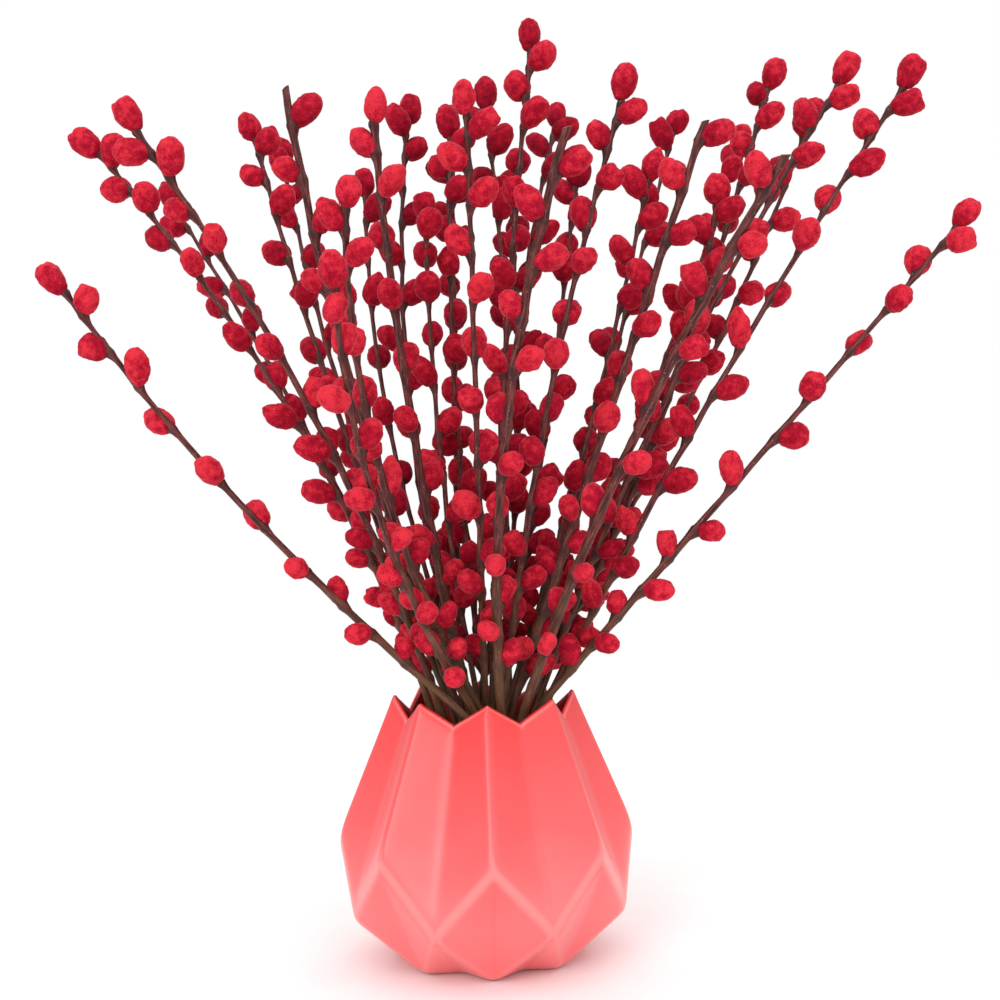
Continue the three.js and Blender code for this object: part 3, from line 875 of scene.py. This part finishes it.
@dataclass
class Vase:
    """The vase: eight upright folds under a zigzag lip, cast as one shell with softly rounded creases."""

    glaze: bpy.types.Material
    folds: int = 8
    front_turn: float = 0.05
    girdle: int = 2
    facet_cuts: int = 17
    soft_rounds: int = 5
    lip_rounds: int = 2
    smoothing: float = 0.5
    edge_depth: float = 1.3
    weld: float = 0.01
    lip_reach: float = 0.2
    lip_margin: float = 0.05
    rung_share: float = 0.5

    @property
    def columns(self) -> int:
        """The number of ridges and valleys."""
        return 2 * self.folds

    @property
    def lip(self) -> int:
        """The number of the row on the lip's outer edge."""
        return len(OUTER_ROWS) - 1

    def cage(self) -> tuple[BMesh, dict[BMVert, tuple[int, bool]]]:
        """Spins the ridge profile and moves every second column of corners to the valley.

        Returns:
            The cage, and for each corner its row and whether it lies on a valley.
        """
        bm = bmesh.new()
        rows = OUTER_ROWS + INNER_ROWS
        corners = [bm.verts.new((row.ridge[0], 0, row.ridge[1])) for row in rows]
        profile = corners + [bm.edges.new(pair) for pair in zip(corners, corners[1:])]
        axis = {"cent": (0, 0, 0), "axis": (0, 0, 1)}
        bmesh.ops.spin(bm, geom=profile, angle=FULL_TURN, steps=self.columns, use_merge=True, **axis)
        bmesh.ops.remove_doubles(bm, verts=bm.verts, dist=self.weld)
        places: dict[BMVert, tuple[int, bool]] = {}
        for corner in bm.verts:
            radius = math.hypot(corner.co.x, corner.co.y)
            here = Vector((radius, corner.co.z))
            level = min(range(len(rows)), key=lambda i: (Vector(rows[i].ridge) - here).length)
            column = round(math.atan2(corner.co.y, corner.co.x) * self.columns / FULL_TURN) % self.columns
            in_valley = column % 2 == 1
            radius, height = rows[level].valley if in_valley else rows[level].ridge
            angle = column * FULL_TURN / self.columns - FULL_TURN / 4 + self.front_turn
            corner.co = (radius * math.cos(angle), radius * math.sin(angle), height)
            places[corner] = (level, in_valley)
        return bm, places

    def fold(self, bm: BMesh, places: dict[BMVert, tuple[int, bool]]) -> None:
        """Creases each wall quad from its lower ridge corner to its upper valley corner.

        Args:
            bm: The cage.
            places: Each corner's row, and whether it lies on a valley.
        """
        for face in [f for f in bm.faces if len(f.verts) == 4]:
            low = min(places[corner][0] for corner in face.verts)
            if low == self.lip:
                continue
            wants_ridge = low < self.lip
            ends = [c for c in face.verts if (places[c][0] == low) != (places[c][1] == wants_ridge)]
            bmesh.utils.face_split(face, ends[0], ends[1])

    def divide(self, bm: BMesh, places: dict[BMVert, tuple[int, bool]]) -> None:
        """Divides the facets finely, and the narrow lip just once across.

        Args:
            bm: The folded cage.
            places: Each corner's row, and whether it lies on a valley.
        """
        across = {self.lip, self.lip + 1}
        long_edges = [e for e in bm.edges if {places[v][0] for v in e.verts} != across]
        bmesh.ops.subdivide_edges(bm, edges=long_edges, cuts=self.facet_cuts, use_grid_fill=True)
        rungs = [e for e in bm.edges if self.is_rung(e)]
        bmesh.ops.subdivide_edges(bm, edges=rungs, cuts=1, use_grid_fill=True)

    def soften(self, bm: BMesh) -> None:
        """Rounds the creases, and notes as the attribute edge where the glaze pools and where it is paler, a
        thinner glaze with a painted highlight.
        """
        bmesh.ops.recalc_face_normals(bm, faces=bm.faces)
        bm.normal_update()
        sharp = [(vert.co.copy(), vert.normal.copy()) for vert in bm.verts]
        near_lip = {vert for vert in bm.verts if self.lip_offset(vert.co) is not None}
        walls = [vert for vert in bm.verts if vert not in near_lip]
        axes = {"use_axis_x": True, "use_axis_y": True, "use_axis_z": True}
        for verts, rounds in ((walls, self.soft_rounds), (bm.verts, self.lip_rounds)):
            for _ in range(rounds):
                bmesh.ops.smooth_vert(bm, verts=verts, factor=self.smoothing, **axes)
        edge = bm.verts.layers.float.new("edge")
        for vert, (place, normal) in zip(bm.verts, sharp):
            sunk = (place - vert.co).dot(normal) / self.edge_depth
            # The whole lip gets the full pale colour: a painted highlight along the rim, partly a thinner
            # glaze.
            vert[edge] = 1.0 if vert in near_lip else max(-1.0, min(sunk, 1.0))

    def build(self) -> bpy.types.Object:
        """Builds the vase, as wide after its creases are rounded as its solid is."""
        bm, places = self.cage()
        self.fold(bm, places)
        self.divide(bm, places)
        self.soften(bm)
        widest = max(math.hypot(vert.co.x, vert.co.y) for vert in bm.verts)
        girth = OUTER_ROWS[self.girdle].ridge[0] / widest
        bmesh.ops.scale(bm, vec=(girth, girth, 1), verts=bm.verts)
        for face in bm.faces:
            face.smooth = True
        made = link_mesh("vase_shell", bm, [self.glaze])
        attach(made, ROOT)
        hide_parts("vase")
        return made

    def is_rung(self, edge: BMEdge) -> bool:
        """Says whether an edge runs straight across the lip."""
        ends = [self.lip_offset(vert.co) for vert in edge.verts]
        return None not in ends and abs(ends[0] - ends[1]) > self.rung_share

    def lip_offset(self, place: Vector) -> float | None:
        """Returns how far across the lip a point lies, 0 outside to 1 inside, or None off the lip.

        Args:
            place: A point on the vase's surface.
        """
        angle = math.atan2(place.y, place.x) + FULL_TURN / 4 - self.front_turn
        column = (angle * self.columns / FULL_TURN) % 2
        here = Vector((math.hypot(place.x, place.y), place.z))
        first, last = (Vector(self.chord(row, column)) for row in (OUTER_ROWS[-1], INNER_ROWS[0]))
        offset = (here - first).dot(last - first) / (last - first).length ** 2
        is_off = (here - first.lerp(last, offset)).length > self.lip_reach
        if is_off or not -self.lip_margin < offset < 1 + self.lip_margin:
            return None
        return offset

    def chord(self, row: FoldRow, column: float) -> tuple[float, float]:
        """Returns the radius and height at which a row's straight edge crosses a bearing.

        Args:
            row: The row.
            column: The bearing in columns from a ridge, 0 or 2 on a ridge and 1 on a valley.
        """
        step = FULL_TURN / self.columns
        turn = (column if column <= 1 else 2 - column) * step
        (r0, z0), (r1, z1) = row.ridge, row.valley
        share = r0 * math.sin(turn) / (r0 * math.sin(turn) + r1 * math.sin(step - turn))
        radius = math.hypot(r0 * (1 - share) + r1 * share * math.cos(step), r1 * share * math.sin(step))
        return radius, z0 + (z1 - z0) * share


# ---- The branches ----


class CatkinForm(Enum):
    """How a catkin's down has set, and how common that is."""

    EGG = 0.5
    ROUND = 0.16
    POINTED = 0.1
    TWO_LOBED = 0.13
    CUPPED = 0.11


# What a form does to its outer end: how far that reaches, and how wide the shoulder under it is.
END_SHAPES = {CatkinForm.POINTED: (1.32, 0.86), CatkinForm.CUPPED: (0.42, 1.22)}


@dataclass(frozen=True)
class NodeShape:
    """How a stem swells at its nodes, in millimetres.

    bud is the swelling under a catkin, on its side, and scar is the share of it where one has fallen off.
    collar is the swelling all round. They start catkin_below or scar_below under the node and end above it.
    shade is how dark the bark is all round a node, and bud_shade what is added on the catkin's side.
    """

    bud: float = 2.4
    scar: float = 0.85
    collar: float = 0.55
    catkin_below: float = 7.5
    scar_below: float = 6
    peak: float = 0.6
    above: float = 2.2
    rise_curve: float = 1.8
    side_curve: float = 1.5
    shade: float = 0.35
    bud_shade: float = 0.45


@dataclass(frozen=True)
class DownShape:
    """How the down of a catkin grows: front, the reaches and the tufts in millimetres, the rest as shares.

    plump makes up for what softening takes off the cage, and slimming is how much less of that the catkins
    slim_reach in front of the vase's axis get. A cleft runs between the two lobes of a split one. The colour
    is brightest at the front and the sides, with painted shade towards the back middle of the bunch. It rises
    towards a catkin's outer end, with painted shade at the base, and varies at random with the uneven dyeing.
    """

    columns: int = 8
    rings: int = 6
    egg_varies: tuple[float, float] = (-0.14, 0.16)
    jitter: float = 0.11
    plump: float = 1.13
    slimming: float = 0.1
    slim_reach: float = 80
    round_length: float = 0.93
    pole: float = 0.95
    shoulder: float = 0.6
    cleft_from: float = -0.6
    cleft_width: float = 0.35
    cleft_girth: float = 0.74
    lobe_girth: float = 1.06
    cleft_drop: float = 0.84
    drop_from: float = 0.5
    base_shade_rise: float = 0.26
    dye_varies: float = 0.08
    brightest: float = 0.82
    inner_shade: float = 0.4
    side_share: float = 0.6
    front: float = -60
    depth_reach: float = 170
    side_reach: float = 160
    tone_varies: tuple[float, float] = (-0.14, 0.1)
    softness: int = 2
    tuft_size: float = 2.6
    tuft_detail: int = 3
    tuft_depth: float = 1.2


class StemCurve:
    """A stem's middle line as a smooth curve over height, with a slight zigzag from node to node."""

    def __init__(self, line: Sequence[Vector], stations: Sequence[Station], zigzag: float) -> None:
        """Fits the curve.

        Args:
            line: Points up the stem's middle.
            stations: The stem's nodes.
            zigzag: How far the stem is pushed away from the catkin at each node.
        """
        self.points = np.array(line)
        self.slopes = np.gradient(self.points[:, :2], self.points[:, 2], axis=0)
        nodes = sorted((s for s in stations if not s.is_tip), key=lambda s: s.point.z)
        self.node_heights = [line[0].z, *(s.point.z for s in nodes), line[-1].z]
        shifts = [s.across(s.turn) * -zigzag for s in nodes]
        self.node_shifts = np.array([(0, 0), *((s.x, s.y) for s in shifts), (0, 0)])

    def at(self, height: float) -> Vector:
        """Returns the stem's middle at a height."""
        heights = self.points[:, 2]
        i = int(np.clip(np.searchsorted(heights, height) - 1, 0, len(heights) - 2))
        gap = heights[i + 1] - heights[i]
        t = (height - heights[i]) / gap
        start, end = self.points[i, :2], self.points[i + 1, :2]
        rise = gap * (self.slopes[i] * (t**3 - 2 * t**2 + t) + self.slopes[i + 1] * (t**3 - t**2))
        place = start * (2 * t**3 - 3 * t**2 + 1) + end * (3 * t**2 - 2 * t**3) + rise
        shift = [np.interp(height, self.node_heights, self.node_shifts[:, axis]) for axis in (0, 1)]
        return Vector((place[0] + shift[0], place[1] + shift[1], height))

    def direction(self, height: float) -> Vector:
        """Returns the stem's direction upwards at a height."""
        reach = 3
        low = max(height - reach, self.points[0, 2])
        high = min(height + reach, self.points[-1, 2])
        return (self.at(high) - self.at(low)).normalized()


@dataclass
class Finishes:
    """The bunch's materials, each made once."""

    bark: bpy.types.Material
    cut: bpy.types.Material
    down: bpy.types.Material


@dataclass
class Branch:
    """One branch: the bark-covered stem with its swollen nodes, and the down of its catkins."""

    index: int
    bunch: Bunch
    finishes: Finishes
    sides: int = 10
    solid_sides: int = 5
    ring_step: float = 4
    ring_offsets: tuple[float, ...] = (-5.5, -2.5, -0.6, 0.5, 1.6)
    end_margin: float = 1
    ring_gap: float = 0.7
    zigzag: float = 0.5
    wobble: float = 0.07
    cut_slant: float = 0.6
    seed: int = 4100
    node: NodeShape = NodeShape()
    down: DownShape = DownShape()
    row: BranchRow = field(init=False)
    stations: list[Station] = field(init=False)
    curve: StemCurve = field(init=False)
    name: str = field(init=False)
    draws: random.Random = field(init=False)

    def __post_init__(self) -> None:
        """Prepares the branch's curve, its name and its source of random numbers."""
        self.row = self.bunch.rows[self.index]
        self.stations = self.bunch.stations[self.index]
        self.curve = StemCurve(self.bunch.lines[self.index], self.stations, self.zigzag)
        self.name = f"branch_{self.index + 1:02d}"
        self.draws = random.Random(self.seed + self.index)

    @property
    def roundness(self) -> float:
        """A round stem's radius, as a share of its solid's corner radius, for an equal section."""
        turn = FULL_TURN / self.solid_sides
        return math.sqrt(math.sin(turn) / turn)

    def ring_heights(self) -> list[float]:
        """Returns the heights of the stem's rings: even steps, and closer together round each node."""
        line = self.bunch.lines[self.index]
        bottom, top = line[0].z, line[-1].z
        count = math.ceil((top - bottom) / self.ring_step)
        heights = [bottom + (top - bottom) * i / count for i in range(count + 1)]
        for station in self.stations:
            for offset in self.ring_offsets:
                height = station.point.z + offset * station.along.z
                if bottom + self.end_margin < height < top - self.end_margin:
                    heights.append(height)
        spaced: list[float] = []
        for height in sorted(heights):
            if not spaced or height - spaced[-1] > self.ring_gap:
                spaced.append(height)
        spaced[-1] = top
        return spaced

    def swelling(self, height: float, bearing: float) -> tuple[float, float]:
        """Works out how a stem swells at a place on its bark.

        Args:
            height: The place's height.
            bearing: Its bearing round the stem.

        Returns:
            How much further out the bark lies, and how dark it is, from 0 to 1.
        """
        node = self.node
        out, dark = 0.0, 0.0
        for station in self.stations:
            distance = (height - station.point.z) / station.along.z
            length = node.catkin_below if station.has_catkin else node.scar_below
            if not -length < distance < node.above:
                continue
            rise = min(1.0, (distance + length) / (length - node.peak))
            fall = min(1.0, max(0.0, (node.above - distance) / node.above))
            facing = max(0.0, math.cos(bearing - station.turn))
            share = rise**node.rise_curve * fall
            reach = node.bud if station.has_catkin else node.scar * node.bud
            out += share * (node.collar if station.is_tip else reach * facing**node.side_curve)
            out += share * node.collar
            dark = max(dark, share * (node.shade + node.bud_shade * facing))
        return out, dark

    def stem(self) -> bpy.types.Object:
        """Builds the stem: a straight ringed tube, swollen at its nodes and bent to its curve."""
        heights = self.ring_heights()
        bm = bmesh.new()
        bmesh.ops.create_cone(
            bm, cap_ends=True, cap_tris=False, segments=self.sides, radius1=1, radius2=1, depth=1
        )
        upright = [edge for edge in bm.edges if abs(edge.verts[0].co.z - edge.verts[1].co.z) > 0.5]
        bmesh.ops.subdivide_edges(bm, edges=upright, cuts=len(heights) - 2)
        grain = bm.verts.layers.float_vector.new("grain")
        node = bm.verts.layers.float.new("node")
        paths = self.bunch.paths
        for vert in bm.verts:
            height = heights[round((vert.co.z + 0.5) * (len(heights) - 1))]
            bearing = math.atan2(vert.co.y, vert.co.x)
            along = self.curve.direction(height)
            thickness = paths.radius(self.row, height) * self.roundness
            uneven = 1 + self.wobble * self.draws.uniform(-1, 1)
            out, dark = self.swelling(height, bearing)
            away = Station(Vector(), along, thickness).across(bearing)
            vert[grain] = (thickness * vert.co.x * MM, thickness * vert.co.y * MM, height * MM)
            vert[node] = dark
            slant = Vector()
            if self.row.bare and height == heights[-1]:
                slant = along * (self.cut_slant * thickness * math.cos(bearing))
            vert.co = self.curve.at(height) + away * (thickness * uneven + out) + slant
        for face in bm.faces:
            is_cap = len(face.verts) == self.sides
            face.smooth = not is_cap
            face.material_index = int(is_cap)
        bmesh.ops.recalc_face_normals(bm, faces=bm.faces)
        made = link_mesh(f"{self.name}_stem", bm, [self.finishes.bark, self.finishes.cut])
        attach(made, ROOT)
        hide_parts(self.name)
        return made

    def shaped(self, vert: BMVert, form: CatkinForm, egg: float, cleft: float) -> Vector:
        """Moves one corner of a round cage to where it belongs on a catkin of unit length and width.

        Args:
            vert: The corner on a ball one unit across.
            form: How the down has set.
            egg: Above 0, the outer end is the fuller one.
            cleft: The bearing of the cleft between two lobes.

        Returns:
            The corner's new place.
        """
        down = self.down
        place = vert.co.copy()
        height = 2 * place.z
        girth = 1 + egg * height
        reach, shoulder = END_SHAPES.get(form, (1, 1))
        if height > down.pole:
            place.z *= reach
        elif height > down.shoulder:
            girth *= shoulder
        if form is CatkinForm.TWO_LOBED and height > down.cleft_from:
            bearing = math.atan2(place.y, place.x)
            inside = abs(math.cos(bearing - cleft)) < down.cleft_width or height > down.pole
            girth *= down.cleft_girth if inside else down.lobe_girth
            place.z *= down.cleft_drop if inside and height > down.drop_from else 1
        jitter = 1 + down.jitter * self.draws.uniform(-1, 1)
        return Vector((place.x * girth * jitter, place.y * girth * jitter, place.z * jitter))

    def catkins(self) -> bpy.types.Object:
        """Builds the down of all the branch's catkins, each a small cage of its own form, then softened."""
        down = self.down
        bm = bmesh.new()
        dye_and_shade = bm.verts.layers.float.new("dye_and_shade")
        forms = list(CatkinForm)
        for catkin in (c for c in self.bunch.catkins if c.owner == self.index):
            form = self.draws.choices(forms, [f.value for f in forms])[0]
            cage = {"u_segments": down.columns, "v_segments": down.rings, "radius": 0.5}
            made = bmesh.ops.create_uvsphere(bm, **cage)["verts"]
            egg = self.draws.uniform(*down.egg_varies)
            cleft = self.draws.uniform(0, math.pi)
            tone_and_shade = self.tone_and_shade(catkin)
            for vert in made:
                share = vert.co.z + 0.5
                varied = self.draws.uniform(-down.dye_varies, down.dye_varies)
                # Painted shade at the catkin's base: the colour rises towards its outer end, on top of random
                # dyeing.
                vert[dye_and_shade] = tone_and_shade + down.base_shade_rise * (share - 0.5) + varied
                vert.co = self.shaped(vert, form, egg, cleft)
            near = min(max(-catkin.middle.y / down.slim_reach, 0), 1)
            plump = down.plump - down.slimming * near
            length = catkin.length * (down.round_length if form is CatkinForm.ROUND else 1.0)
            size = Matrix.Diagonal((plump * catkin.width, plump * catkin.width, plump * length, 1))
            spin = Matrix.Rotation(self.draws.uniform(0, FULL_TURN), 4, "Z")
            turn = catkin.axis.to_track_quat("Z", "Y").to_matrix().to_4x4()
            matrix = Matrix.Translation(catkin.middle) @ turn @ spin @ size
            bmesh.ops.transform(bm, matrix=matrix, verts=made)
        for face in bm.faces:
            face.smooth = True
        bmesh.ops.recalc_face_normals(bm, faces=bm.faces)
        made = link_mesh(f"{self.name}_catkins", bm, [self.finishes.down])
        soft = made.modifiers.new("soft", "SUBSURF")
        soft.levels = soft.render_levels = down.softness
        tufts = bpy.data.textures.get("tufts") or bpy.data.textures.new("tufts", "CLOUDS")
        tufts.noise_scale = down.tuft_size * MM
        tufts.noise_depth = down.tuft_detail
        ruffle = made.modifiers.new("ruffle", "DISPLACE")
        ruffle.texture = tufts
        ruffle.texture_coords = "LOCAL"
        ruffle.strength = down.tuft_depth * MM
        ruffle.mid_level = 0.5
        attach(made, ROOT)
        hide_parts(self.name)
        return made

    def tone_and_shade(self, catkin: Catkin) -> float:
        """Returns how bright a catkin's colour is: painted shade makes it less towards the middle of the
        back, and it varies at random.
        """
        down = self.down
        depth = min(max((catkin.middle.y - down.front) / down.depth_reach, 0), 1)
        side = min(abs(catkin.middle.x) / down.side_reach, 1)
        # Painted shade: darker towards the middle of the back, and not as dark at the sides.
        inner_shade_here = down.inner_shade * depth * (1 - down.side_share * side)
        return down.brightest - inner_shade_here + self.draws.uniform(*down.tone_varies)

    def build(self) -> None:
        """Builds the whole branch and reports it."""
        stem = self.stem()
        down = self.catkins()
        for piece in (stem, down):
            logging.info("%s: %d cage faces", piece.name, len(piece.data.polygons))


# ---- The studio ----


@dataclass
class Studio:
    """White paper, an even white surround, soft lamps, and the camera at the front."""

    paper: bpy.types.Material
    paper_side: float = 1800
    eye: tuple[float, float, float] = (10.6, -682, 228)
    pitch: float = 0.0041
    roll: float = 0.024
    lens: float = 49.1
    far: float = 100
    surround: float = 0.7
    lamps: tuple[tuple[str, float, float, float, float], ...] = (
        ("key_lamp", -32, 26, 1.0, 35),
        ("fill_lamp", 44, 20, 0.6, 60),
        ("back_lamp", 180, 45, 0.6, 60),
        ("top_lamp", 0, 82, 1.0, 80),
    )

    def floor(self) -> None:
        """Lays the paper."""
        bm = bmesh.new()
        bmesh.ops.create_grid(bm, x_segments=2, y_segments=2, size=self.paper_side / 2)
        made = link_mesh("paper_floor", bm, [self.paper])

    def light(self) -> None:
        """Hangs the lamps, each given by its azimuth from the front, its elevation, strength and softness."""
        for name, azimuth, elevation, strength, softness in self.lamps:
            data = bpy.data.lights.new(name, "SUN")
            data.energy = strength
            data.angle = math.radians(softness)
            lamp = bpy.data.objects.new(name, data)
            tilt = math.radians(90 - elevation)
            lamp.rotation_euler = (tilt, 0, math.radians(azimuth))
            bpy.context.scene.collection.objects.link(lamp)

    def world(self) -> None:
        """Makes the even surround, which is white to look at and a little dimmer as a source of light."""
        world = bpy.data.worlds.new("white_surround")
        world.use_nodes = True
        tree = world.node_tree
        tree.nodes.clear()
        seen = add_node(tree, "ShaderNodeLightPath").outputs["Is Camera Ray"]
        glow = add_node(tree, "ShaderNodeBackground", {"Color": (1, 1, 1, 1), "Strength": self.surround})
        white = add_node(tree, "ShaderNodeBackground", {"Color": (1, 1, 1, 1), "Strength": 1.0})
        both = {0: seen, 1: glow.outputs["Background"], 2: white.outputs["Background"]}
        mix = add_node(tree, "ShaderNodeMixShader", both)
        add_node(tree, "ShaderNodeOutputWorld", {"Surface": mix.outputs["Shader"]})
        bpy.context.scene.world = world

    def camera(self) -> None:
        """Sets up the camera, level with the middle of the bunch."""
        data = bpy.data.cameras.new("camera")
        data.lens = self.lens
        data.clip_end = self.far
        made = bpy.data.objects.new("camera", data)
        made.location = Vector(self.eye) * MM
        made.rotation_euler = (math.pi / 2 - self.pitch, self.roll, 0)
        bpy.context.scene.collection.objects.link(made)
        bpy.context.scene.camera = made

    def build(self) -> None:
        """Builds the studio."""
        self.floor()
        self.light()
        self.world()
        self.camera()
        bpy.context.scene.view_settings.view_transform = "Standard"


def main() -> None:
    """Builds the vase, the branches from left to right, and the studio."""
    logging.basicConfig(level=logging.INFO, format="%(message)s")
    vase = Vase(SatinGlaze().material()).build()
    logging.info("%s: %d faces", vase.name, len(vase.data.polygons))
    bunch = Bunch(BRANCH_ROWS)
    bunch.grow()
    finishes = Finishes(WillowBark().material(), CutWood().material(), DyedDown().material())
    for index in range(len(BRANCH_ROWS)):
        Branch(index, bunch, finishes).build()
    Studio(StudioPaper().material()).build()


if __name__ == "__main__":
    main()
